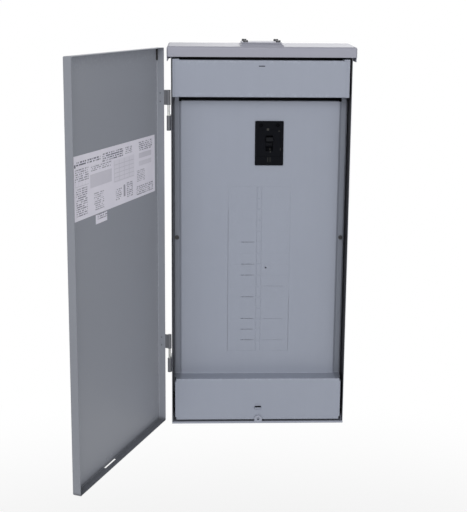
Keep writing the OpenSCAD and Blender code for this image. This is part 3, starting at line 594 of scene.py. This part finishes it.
def door_panel():
    """Folded pan: a flat face whose four edges sweep back on a small radius. At a corner the
    edge profile is turned a quarter round the corner of the flat face, so the pan is closed.
    It has a latch slot through the lower edge and two pressed bosses above the slot."""
    across = tray(-DOOR_HALF, DOOR_HALF, DOOR_DEEP, DOOR_BEND)
    upward = tray(DOOR_LOW, DOOR_HIGH, DOOR_DEEP, DOOR_BEND)
    flat_half = DOOR_HALF - DOOR_BEND
    middle = (DOOR_LOW + DOOR_HIGH) / 2
    flat_rise = (DOOR_HIGH - DOOR_LOW) / 2 - DOOR_BEND
    edge_from = BEND_STEPS + 2
    edge_lengths = across[0][edge_from:] - flat_half
    edge_line = across[1][edge_from:] - np.array([flat_half, 0.0])
    slot_near = DOOR_BEND * math.acos(1 - LATCH_NEAR / DOOR_BEND)
    slot_far = LATCH_FAR + (math.pi / 2 - 1) * DOOR_BEND
    slot_middle = DOOR_LOW + DOOR_BEND - (slot_near + slot_far) / 2
    holes = [(LATCH_X, slot_middle, LATCH_HALF, (slot_far - slot_near) / 2, 0.5)]

    def place(s, t):
        x, side_back = along(across, s)
        z, end_back = along(upward, t)
        past_side = abs(s) - flat_half
        past_end = abs(t - middle) - flat_rise
        corner = (past_side > 0) & (past_end > 0)
        steps = np.arange(edge_lengths.size)
        side_step = np.interp(past_side, edge_lengths, steps)
        end_step = np.interp(past_end, edge_lengths, steps)
        lead = np.maximum(np.maximum(side_step, end_step), 1e-9)
        share = np.minimum(side_step, end_step) / lead
        turned = share * math.pi / 4
        angle = np.where(end_step > side_step, math.pi / 2 - turned, turned)
        length = np.interp(lead, steps, edge_lengths)
        out = np.interp(length, edge_lengths, edge_line[:, 0])
        back = np.interp(length, edge_lengths, edge_line[:, 1])
        x = np.where(corner, np.sign(s) * (flat_half + out * np.cos(angle)), x)
        z = np.where(corner, middle + np.sign(t - middle) * (flat_rise + out * np.sin(angle)), z)
        deep = np.where(corner, back, side_back + end_back)
        boss = sum(smooth_step(BOSS_R + 0.5 - np.hypot(x - bx, z - BOSS_Z)) for bx in BOSSES_X)
        points = np.stack([x, DOOR_FACE + deep + belly(x, z) + BOSS_HIGH * boss, z], -1)
        return np.moveaxis(turned_open(points), -1, 0)

    def fold(s, t):
        past = np.maximum(abs(s) - flat_half, abs(t - middle) - flat_rise)
        return ((past > -0.1) & (past < 4)).astype(float)

    def painted_shade(s, t):
        # painted shade: darker on the lower edge and just above its fold, and a little on the free
        # edge, where these faces lie in shade
        lower = smooth_step((DOOR_LOW + DOOR_BEND + 7.0 - t) / 8.0)
        free = smooth_step((s - flat_half) / DOOR_BEND)
        return np.maximum(0.72 * lower, 0.24 * free)

    ring = np.linspace(-BOSS_R - 0.6, BOSS_R + 0.6, 15)
    s_lines = merged_lines(
        across[0], hole_lines(holes, 0), np.linspace(-180, 180, 13), *[bx + ring for bx in BOSSES_X]
    )
    t_lines = merged_lines(
        upward[0],
        hole_lines(holes, 1),
        np.linspace(-390, 380, 23),
        BOSS_Z + ring,
        DOOR_LOW + DOOR_BEND + np.linspace(-1.0, 7.0, 5),
    )
    painted = {"fold": fold, "painted_shade": painted_shade}
    mesh = sheet_mesh("door_sheet", s_lines, t_lines, holes, everywhere, place, painted)
    return sheet_piece("door_sheet", mesh, DOOR_SHEET, "door_panel")


def stuck_on(name, node, box, finish):
    """Thin label on the inside of the door: a flat sheet with its edges lifted by a hair."""
    left, right, low, high = box
    skin = 0.24

    def place(s, t):
        # s runs from the free edge of the door towards the hinges
        x = right - s
        edge = np.minimum(np.minimum(s, right - left - s), np.minimum(t, high - low - t))
        lift = 0.12 * np.exp(-edge / 3.0)
        z = low + t
        points = np.stack([x, DOOR_FACE + DOOR_SHEET + belly(x, z) + 0.06 + skin + lift, z], -1)
        return np.moveaxis(turned_open(points), -1, 0)

    s_lines = rimmed(right - left, 6, 5, 24)
    t_lines = rimmed(high - low, 3, 4, 10)
    mesh = sheet_mesh(name, s_lines, t_lines, [], everywhere, place, printed=True)
    piece = bpy.data.objects.new(name, mesh)
    bpy.context.scene.collection.objects.link(piece)
    wall = piece.modifiers.new("thickness", "SOLIDIFY")
    wall.thickness = skin * MM
    wall.offset = -1.0
    built(piece)
    FINISHES[SLOT_OF[node]] = finish
    return standing_for(piece, node)


# ------------------------------------------------------------------ covers


COVER_FACE = -117.0
COVER_SHEET = 1.2
COVER_HALF = 187.4
COVER_RETURN = 12.0
LOWER_LOW = -415.6
LEDGE = -318.6
RECESS_TOP = 305.9
RECESS_DEEP = 36.0
RECESS_RETURN = 10.0
SHOULDER_IN = 171.9
SHOULDER_OUT = 177.9
SHOULDER_STEP = 3.0
COVER_BEND = 2.0
LOUVRE = -385.6
LOUVRE_HALF = 7.0
LOUVRE_R = 5.6
RIB_HALF = 4.5
RIB_UP = 0.8
TWIST_IN = 6.0
TWIST_OUT = 69.0
TWIST_Z = -74.3
POLE = 25.4
ROWS = 15
TWIST_LOW = TWIST_Z - ROWS * POLE / 2
TWIST_HIGH = TWIST_Z + ROWS * POLE / 2


def smooth_step(x):
    x = np.clip(x, 0.0, 1.0)
    return x * x * (3 - 2 * x)


def past_shoulder(s):
    """0 on the recessed face, 1 on the screw flanges, and smooth between."""
    return smooth_step((abs(s) - SHOULDER_IN) / (SHOULDER_OUT - SHOULDER_IN))


def breaker_cover():
    """One stepped sheet: lower cover, ledge back to the recessed face, and a short return on top.
    Its depth is the profile's depth plus a smooth step down to the screw flanges, less a low
    dashed rib up the middle and a quarter-round louvre over the finger slot."""
    step = [(LOWER_LOW, 0), (LEDGE, 0), (LEDGE, RECESS_DEEP), (RECESS_TOP, RECESS_DEEP)]
    upward = bent([*step, (RECESS_TOP, RECESS_DEEP + RECESS_RETURN)], COVER_BEND, 0)
    # stations on the recessed face, its third run, are ahead of its heights by this much
    recess_first = 2 * BEND_STEPS + 2
    ahead = upward[0][recess_first] - upward[1][recess_first, 0]
    across = tray(-COVER_HALF, COVER_HALF, COVER_RETURN, COVER_BEND)
    window = (20.0, 212.5 + ahead, 31.35, 49.3, 2.4)
    column_half = (TWIST_OUT - TWIST_IN) / 2 + 0.05
    column_rise = ROWS * POLE / 2 + 0.05
    spaces = [
        (side * (TWIST_IN + TWIST_OUT) / 2, TWIST_Z + ahead, column_half, column_rise, 0.4)
        for side in (-1, 1)
    ]
    finger_slot = (0.0, LOUVRE + 0.9, LOUVRE_HALF, 0.9, 0.4)
    holes = [window, *spaces, finger_slot]
    notch_half = COVER_HALF - 3.0
    top_bend = RECESS_TOP - COVER_BEND + ahead

    def kept(s, t):
        height, deep = along(upward, t)
        low_part = t < LEDGE - COVER_BEND
        near_corner = (height < LOWER_LOW + 6) | ((height > LEDGE - 6) & (deep < 15))
        inside = abs(s) < COVER_HALF
        side_return = low_part & (height > LOWER_LOW + 6) & (height < LEDGE - 6)
        cell = inside | side_return
        cell &= ~((abs(s) > notch_half) & near_corner)
        cell &= ~((t > top_bend) & (abs(s) > SHOULDER_IN))
        return cell

    def place(s, t):
        height, deep = along(upward, t)
        folded_x, side_back = along(across, s)
        recess = np.clip(deep / RECESS_DEEP, 0.0, 1.0)
        low_part = t < LEDGE - COVER_BEND
        x = np.where(low_part, folded_x, s)
        side = np.where(low_part, side_back, 0.0)
        shoulder = SHOULDER_STEP * past_shoulder(s)
        row_place = ((height - TWIST_LOW) / POLE) % 1.0
        ribbed = (height > TWIST_LOW) * (height < TWIST_HIGH)
        dash = smooth_step((0.46 - abs(row_place - 0.5)) / 0.03) * ribbed
        rib = RIB_UP * smooth_step((RIB_HALF + 0.4 - abs(s)) / 0.5) * dash
        below_slot = np.clip((LOUVRE - t) / LOUVRE_R, 0.0, 1.0)
        end = np.clip(abs(s) / (LOUVRE_HALF + 1.0), 0.0, 1.0)
        bulge = np.sqrt(1 - below_slot**2) * np.sqrt(1 - end**6)
        louvre = LOUVRE_R * bulge * (t <= LOUVRE + 0.01) * low_part
        y = COVER_FACE + deep + side + recess * shoulder - recess * rib - louvre
        return x, y, height

    def fold(s, t):
        height, deep = along(upward, t)
        ledge_edge = (t > LEDGE - COVER_BEND - 0.1) & (deep < 4)
        side_edge = (abs(s) > COVER_HALF - COVER_BEND) & (t < LEDGE)
        return (ledge_edge | side_edge).astype(float)

    def painted_shade(s, t):
        # the flanges that the cover screws hold lie in the shade of the wall
        return 0.42 * past_shoulder(s) * (t > LEDGE)

    dash_ends = np.array([0.03, 0.045, 0.06, 0.94, 0.955, 0.97])
    rib_rows = TWIST_LOW + ahead + (np.arange(ROWS)[:, None] + dash_ends) * POLE
    s_lines = merged_lines(
        across[0],
        hole_lines(holes, 0),
        [-notch_half, notch_half, -COVER_HALF, COVER_HALF],
        np.linspace(SHOULDER_IN, SHOULDER_OUT, 6),
        -np.linspace(SHOULDER_IN, SHOULDER_OUT, 6),
        np.linspace(-9, 9, 25),
        [-RIB_HALF - 0.4, -RIB_HALF + 0.1, RIB_HALF - 0.1, RIB_HALF + 0.4],
        np.linspace(-160, 160, 9),
    )
    t_lines = merged_lines(
        upward[0],
        hole_lines(holes, 1),
        rib_rows,
        [LOWER_LOW + 6, LEDGE - 6, TWIST_LOW + ahead - 2, TWIST_HIGH + ahead + 2],
        LOUVRE - LOUVRE_R * np.sin(np.linspace(0, math.pi / 2, 9)),
        [LEDGE + 13.0 - 2 * COVER_BEND + math.pi / 2 * COVER_BEND],
        np.linspace(140, 290, 5),
    )
    painted = {"fold": fold, "painted_shade": painted_shade}
    mesh = sheet_mesh("stepped_cover", s_lines, t_lines, holes, kept, place, painted)
    return sheet_piece("stepped_cover", mesh, COVER_SHEET, "breaker_cover", 0.2)


def gutter_cover():
    """Flat strip with its long edges swept back, hooks at the ends of both returns and a small
    lanced slot near the top."""
    low, high, left, right = 316.4, 395.4, -185.5, 180.5
    hook_in, hook_out = 175.5, 181.3
    upward = tray(low, high, COVER_RETURN, COVER_BEND)
    slot = (0.0, 383.0, 7.0, 1.0, 0.9)

    def kept(s, t):
        _, back = along(upward, t)
        face = (t > low + COVER_BEND) & (t < high - COVER_BEND)
        return face | (abs(s) < hook_in) | ((abs(s) < hook_out) & (back > 2.8))

    def place(s, t):
        height, back = along(upward, t)
        return s, COVER_FACE + back, height

    def fold(s, t):
        return ((t < low + COVER_BEND + 0.1) | (t > high - COVER_BEND - 0.1)).astype(float)

    s_lines = merged_lines(
        [left, right, -hook_in, hook_in, -hook_out, hook_out],
        hole_lines([slot], 0),
        np.linspace(-150, 150, 9),
    )
    t_lines = merged_lines(
        upward[0], hole_lines([slot], 1), [low - 1.2, high + 1.2], np.linspace(330, 370, 3)
    )
    s_lines = s_lines[(s_lines >= left) & (s_lines <= right)]
    mesh = sheet_mesh("gutter_strip", s_lines, t_lines, [slot], kept, place, {"fold": fold})
    return sheet_piece("gutter_strip", mesh, COVER_SHEET, "gutter_cover")


def twistouts(node, side, slot_from, slot_to, slot_high, slotted_rows, loose_rows):
    """Column of blanking plates: one grid for the column whose cells are left out along the
    slits between rows, along each pry slot, along the outer edge of the lowest `loose_rows`,
    and at the pry hole. Each row sits at its own small depth."""
    gap = 0.03
    edge = 0.06
    edge_slit = 0.32
    inner, outer = TWIST_IN + edge, TWIST_OUT - edge
    depth = np.array([3, 6, 1, 5, 3, 5, 2, 4, 2, 3, 1, 2, 1, 1, 0]) * 0.01
    starts = TWIST_LOW + np.arange(ROWS) * POLE
    pry_hole = (16.0, starts[7] + POLE * 0.7, 1.8, 1.8, 1.79)
    holes = [pry_hole] if side > 0 else []

    def kept(s, t):
        in_row = (t - TWIST_LOW) % POLE
        row = np.floor((t - TWIST_LOW) / POLE)
        slit = (in_row < gap / 2) | (in_row > POLE - gap / 2)
        slot = (in_row < slot_high) & (s > slot_from) & (s < slot_to) & np.isin(row, slotted_rows)
        loose = (s > outer - edge_slit) & (row < loose_rows)
        return ~slit & ~slot & ~loose

    def place(s, t):
        row = np.clip(np.floor((t - TWIST_LOW) / POLE), 0, ROWS - 1).astype(int)
        return s * side, COVER_FACE + RECESS_DEEP + depth[row], t

    s_lines = merged_lines([inner, outer - edge_slit, outer, slot_from, slot_to], hole_lines(holes, 0))
    in_row = np.array([gap / 2, slot_high, POLE / 2, POLE - gap / 2])
    t_lines = merged_lines(starts[:, None] + in_row, hole_lines(holes, 1))
    mesh = sheet_mesh(node + "_plates", s_lines, t_lines, holes, kept, place, flipped=side < 0)
    return sheet_piece(node + "_plates", mesh, COVER_SHEET, node, 0.03)


# ------------------------------------------------------------------ body


def body_wrap():
    """Wrap-around sheet: a profile with a narrow return on each front edge, two sides and the
    back, carried straight up, with the wall holes and the pan's screw holes in the back."""
    half, front, low, high = 194.0, -118.4, -424.0, 418.5
    lip = low + 6.6
    hem, hem_bend = 2.6, 1.1
    right_side = [(half - hem, front), (half, front), (half, 0)]
    left_side = [(-half, 0), (-half, front), (-half + hem, front)]
    profile = bent(right_side + left_side, [hem_bend, 2.6, 2.6, hem_bend], 2)
    wall_holes = [(sx * 150.0, sz * 380.0, 3.6, 3.6, 3.59) for sx in (-1, 1) for sz in (-1, 1)]
    pan_holes = [(sx * 103.0, z, 1.6, 1.6, 1.59) for sx in (-1, 1) for z in (-314.8, 285.5)]
    holes = wall_holes + pan_holes
    ends = profile[0][[0, -1]]
    inner_ends = ends + (hem - hem_bend) * np.array([1, -1])

    def kept(s, t):
        return ((s > inner_ends[0]) & (s < inner_ends[1])) | (t > lip)

    def place(s, t):
        x, y = along(profile, s)
        return x, y, t

    def fold(s, t):
        return ((s < ends[0] + 4) | (s > ends[1] - 4)).astype(float)

    s_lines = merged_lines(profile[0], hole_lines(holes, 0), inner_ends, np.linspace(-180, 180, 7))
    t_lines = merged_lines([low, lip, high], hole_lines(holes, 1), np.linspace(-350, 350, 9))
    mesh = sheet_mesh("body_sheet", s_lines, t_lines, holes, kept, place, {"fold": fold})
    piece = sheet_piece("body_sheet", mesh, 1.6, "body_wrap")
    # the walls' inner faces carry near-black painted shade, standing in for the shadow inside the box
    piece.data.materials[0] = powder_coat("painted_shade_inside_paint", ENCLOSURE_GREY, 0.36, PAINTED_SHADE_HALF)
    return piece


# CAD nodes that keep their shape, with how far their edges are eased, in millimetres
EASED_NODES = {
    "bottom_plate": 0.35, "knockout_discs": 0.2, "rain_hood": 0.35, "hub_plate": 0.5,
    "hub_gasket": 0.2, "hub_screws": 0.4, "left_rail": 0.3, "right_rail": 0.3,
    "rail_screws": 0.4, "cover_screws": 0.45, "body_hinge_upper": 0.5, "body_hinge_lower": 0.5,
    "hinge_pins": 0.6, "body_hinge_rivets": 0.3, "door_hinge_upper": 0.5,
    # door_bumper, a black foam strip at the top of the door's hinge-side flange, is painted shade: a
    # dark part put where a narrow crevice lies in shadow
    "door_hinge_lower": 0.5, "door_hinge_rivets": 0.3, "door_bumper": 0.35,
    "interior_pan": 0.4, "interior_screws": 0.5, "bus_base": 0.5,
    "bus_bar_a": 0.5, "bus_bar_b": 0.5, "bus_screws": 0.5, "neutral_bar_left": 0.5,
    "neutral_bar_right": 0.5, "neutral_bar_screws": 0.3, "neutral_feet": 0.6,
    "neutral_strap": 0.4, "neutral_lug": 0.7, "neutral_lug_screw": 0.4, "ground_bar": 0.5,
    "ground_bar_feet": 0.4, "ground_bar_screws": 0.3, "bonding_screw": 0.4,
    "breaker_case": 0.8, "breaker_face": 0.6, "breaker_handle": 0.9, "handle_pin": 0.3,
    "line_lugs": 0.6, "line_lug_screws": 0.35, "breaker_bracket": 0.4,
    "breaker_bracket_screws": 0.5,
}

door_panel()
LABEL_BOX = (-181.0, 168.0, 113.0, 236.0)
STICKER_BOX = (40.7, 87.0, 93.0, 111.0)
label_vinyl = printed_vinyl("label_vinyl", 349.0, 123.0)
stuck_on("door_label_print", "door_label", LABEL_BOX, label_vinyl)
sticker_vinyl = printed_vinyl("sticker_vinyl", 46.3, 18.0)
stuck_on("door_sticker_print", "door_sticker", STICKER_BOX, sticker_vinyl)
breaker_cover()
gutter_cover()
twistouts("twistouts_left", -1, 11.3, 39.3, 0.9, (1, 2, 3, 5, 7, 8, 10), 13)
twistouts("twistouts_right", 1, 12.0, 55.0, 0.35, (1, 3, 6), 5)
body_wrap()
looks = {node: softened(node, width) for node, width in EASED_NODES.items()}
marked = moulded("marked_plastic", BREAKER_BLACK, 0.60, 1500.0, 0.06, FACE_MARKS)
looks["breaker_face"].data.materials[0] = marked


# ------------------------------------------------------------------ room, light, camera


def floor():
    """Pale floor well below the wall-hung enclosure: a grid with its rim swept very slightly
    down, so that it is one smooth sheet. What the camera sees of it lightens evenly to the plain
    white of the room from `near` to `far` away from the middle; its light and shade stay."""
    level, half, middle, near, far = -1.45, 6.0, 1.0, 1.5, 3.6
    line = np.linspace(-half, half, 33)
    X, Y = np.meshgrid(line, line, indexing="ij")
    drop = 0.02 * smooth_step((np.hypot(X, Y) - half + 0.6) / 0.6)
    points = np.stack([X, Y - middle, level - drop], -1).reshape(-1, 3)
    mesh = bpy.data.meshes.new("floor")
    mesh.from_pydata(points, [], grid_cells(X).reshape(-1, 4))
    mesh.shade_smooth()
    piece = bpy.data.objects.new("floor", mesh)
    bpy.context.scene.collection.objects.link(piece)
    f = Finish("floor_paint")
    cloud = f.noise(3.0, 3.0)
    tone = f.blend((0.92, 0.92, 0.92, 1.0), (0.95, 0.95, 0.95, 1.0), cloud)
    paint = f.node("BsdfPrincipled", None, {"Base Color": tone, "Roughness": 0.75 + cloud * 0.1})
    white = f.node("Emission", None, {"Color": (1.0, 1.0, 1.0, 1.0), "Strength": 1.0})
    axes = f.node("SeparateXYZ", None, {0: f.place})
    x = Value(f, axes.outputs["X"])
    y = Value(f, axes.outputs["Y"]) + middle
    away = (x * x + y * y).math("SQRT")
    seen = Value(f, f.node("LightPath").outputs["Is Camera Ray"])
    share = seen * (0.55 + 0.45 * away.eased(near, far))
    both = f.node("MixShader", None, {0: share, 1: paint.outputs[0], 2: white.outputs[0]})
    f.node("OutputMaterial", None, {"Surface": both.outputs[0]})
    mesh.materials.append(f.material)


def soft_lamp(name, at, aim, width, height, power):
    """Soft panel lamp at a place, turned towards a point."""
    data = bpy.data.lights.new(name, "AREA")
    data.shape = "RECTANGLE"
    data.size = width
    data.size_y = height
    data.energy = power
    lamp = bpy.data.objects.new(name, data)
    lamp.location = at
    back = np.array(at, float) - np.array(aim, float)
    back /= np.linalg.norm(back)
    lamp.rotation_euler = (math.acos(back[2]), 0.0, math.atan2(back[1], back[0]) + math.pi / 2)
    bpy.context.scene.collection.objects.link(lamp)


def room_light(level):
    """Even white world: plain white where it is seen or mirrored, and `level` where it lights."""
    world = bpy.data.worlds.new("room")
    world.use_nodes = True
    bpy.context.scene.world = world
    tree = world.node_tree
    tree.nodes.clear()
    path = tree.nodes.new("ShaderNodeLightPath")
    seen = tree.nodes.new("ShaderNodeMath")
    seen.operation = "MAXIMUM"
    tree.links.new(path.outputs["Is Camera Ray"], seen.inputs[0])
    tree.links.new(path.outputs["Is Transmission Ray"], seen.inputs[1])
    either = tree.nodes.new("ShaderNodeMath")
    either.operation = "MAXIMUM"
    tree.links.new(seen.outputs[0], either.inputs[0])
    tree.links.new(path.outputs["Is Glossy Ray"], either.inputs[1])
    strength = tree.nodes.new("ShaderNodeMapRange")
    tree.links.new(either.outputs[0], strength.inputs["Value"])
    strength.inputs["To Min"].default_value = level
    strength.inputs["To Max"].default_value = 1.0
    light = tree.nodes.new("ShaderNodeBackground")
    light.inputs["Color"].default_value = (1.0, 1.0, 1.0, 1.0)
    tree.links.new(strength.outputs["Result"], light.inputs["Strength"])
    out = tree.nodes.new("ShaderNodeOutputWorld")
    tree.links.new(light.outputs[0], out.inputs["Surface"])


def camera():
    """Camera to the left of and above the enclosure, its frame slid down by the lens shift."""
    data = bpy.data.cameras.new("camera")
    data.sensor_width = 36.0
    data.lens = 1021.1 / 512 * 36.0
    data.shift_y = -0.12
    piece = bpy.data.objects.new("camera", data)
    piece.location = (-0.1328, -2.3002, 0.5227)
    pitch, yaw, roll = 0.1891, 0.0339, 0.0078
    ahead = np.array([math.sin(yaw), math.cos(yaw), 0.0])
    forward = ahead * math.cos(pitch) - np.array([0.0, 0.0, math.sin(pitch)])
    level = np.array([math.cos(yaw), -math.sin(yaw), 0.0])
    upright = np.cross(level, forward)
    right = math.cos(roll) * level + math.sin(roll) * upright
    up = -math.sin(roll) * level + math.cos(roll) * upright
    axes = np.column_stack([right, up, -forward])
    piece.rotation_euler = Matrix(axes.tolist()).to_euler()
    bpy.context.scene.collection.objects.link(piece)
    bpy.context.scene.camera = piece


floor()
room_light(0.38)
soft_lamp("key_lamp", (-0.9, -3.4, 1.7), (0.0, 0.0, 0.0), 2.6, 2.0, 65.0)
soft_lamp("fill_lamp", (1.6, -3.2, 0.4), (0.0, 0.0, 0.0), 2.0, 2.0, 17.0)
soft_lamp("back_lamp", (0.8, 3.0, 2.2), (0.0, 0.0, 0.0), 2.4, 2.0, 41.0)
camera()
bpy.context.scene.view_settings.view_transform = "Standard"
